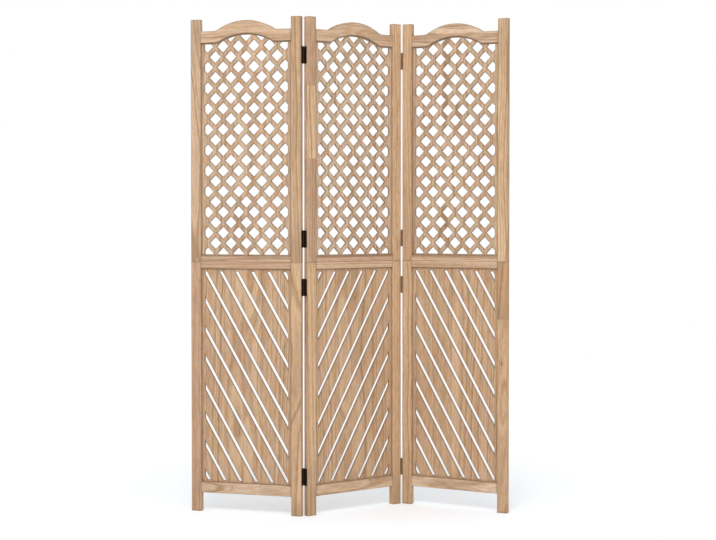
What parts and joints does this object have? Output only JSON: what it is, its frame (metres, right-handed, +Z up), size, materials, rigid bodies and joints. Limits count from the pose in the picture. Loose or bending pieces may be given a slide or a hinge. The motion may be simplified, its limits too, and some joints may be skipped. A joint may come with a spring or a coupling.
{
  "type": "folding screen",
  "caption": "Folding wooden screen in hinged panels, each with an arched top rail, a diamond fretwork board above and a slanting slotted board below.",
  "frame": {"origin": "on the floor, under the middle of the screen as it stands in the zigzag of the picture", "axes": "+Z up, +X to the right seen from the front, +Y away from the viewer; the front faces -Y"},
  "size_m": [1.098, 0.2574, 1.7],
  "materials": {
    "stile_wood": "matte",
    "rail_wood": "matte",
    "board_wood": "matte",
    "dowel_wood": "matte",
    "hinge_metal": "satin",
    "screw_metal": "satin"
  },
  "bodies": {
    "middle_panel": {"middle_upper_left_stile": "stile_wood", "middle_lower_left_stile": "stile_wood", "middle_upper_right_stile": "stile_wood", "middle_lower_right_stile": "stile_wood", "middle_top_rail": "rail_wood", "middle_upper_mid_rail": "rail_wood", "middle_lattice_panel": "board_wood", "middle_lower_mid_rail": "rail_wood", "middle_bottom_rail": "rail_wood", "middle_slotted_panel": "board_wood", "middle_dowels": "dowel_wood", "left_hinge_top_inner_leaf": "hinge_metal", "left_hinge_upper_inner_leaf": "hinge_metal", "left_hinge_lower_inner_leaf": "hinge_metal", "left_hinge_bottom_inner_leaf": "hinge_metal", "right_hinge_top_inner_leaf": "hinge_metal", "right_hinge_upper_inner_leaf": "hinge_metal", "right_hinge_lower_inner_leaf": "hinge_metal", "right_hinge_bottom_inner_leaf": "hinge_metal", "left_hinge_inner_screws": "screw_metal", "right_hinge_inner_screws": "screw_metal"},
    "left_panel": {"left_upper_left_stile": "stile_wood", "left_lower_left_stile": "stile_wood", "left_upper_right_stile": "stile_wood", "left_lower_right_stile": "stile_wood", "left_top_rail": "rail_wood", "left_upper_mid_rail": "rail_wood", "left_lattice_panel": "board_wood", "left_lower_mid_rail": "rail_wood", "left_bottom_rail": "rail_wood", "left_slotted_panel": "board_wood", "left_dowels": "dowel_wood", "left_hinge_top_outer_leaf": "hinge_metal", "left_hinge_upper_outer_leaf": "hinge_metal", "left_hinge_lower_outer_leaf": "hinge_metal", "left_hinge_bottom_outer_leaf": "hinge_metal", "left_hinge_outer_screws": "screw_metal", "left_hinge_pins": "hinge_metal"},
    "right_panel": {"right_upper_left_stile": "stile_wood", "right_lower_left_stile": "stile_wood", "right_upper_right_stile": "stile_wood", "right_lower_right_stile": "stile_wood", "right_top_rail": "rail_wood", "right_upper_mid_rail": "rail_wood", "right_lattice_panel": "board_wood", "right_lower_mid_rail": "rail_wood", "right_bottom_rail": "rail_wood", "right_slotted_panel": "board_wood", "right_dowels": "dowel_wood", "right_hinge_top_outer_leaf": "hinge_metal", "right_hinge_upper_outer_leaf": "hinge_metal", "right_hinge_lower_outer_leaf": "hinge_metal", "right_hinge_bottom_outer_leaf": "hinge_metal", "right_hinge_outer_screws": "screw_metal", "right_hinge_pins": "hinge_metal"}
  },
  "joints": [
    {"name": "left_hinge", "type": "hinge", "parent": "middle_panel", "child": "left_panel", "pos_m": [-0.15699, -0.10713, 0.85], "axis": [0, 0, 1], "range_deg": [-128.1, 51.9]},
    {"name": "right_hinge", "type": "hinge", "parent": "middle_panel", "child": "right_panel", "pos_m": [0.18374, 0.10952, 0.85], "axis": [0, 0, 1], "range_deg": [-116.2, 63.8]}
  ]
}
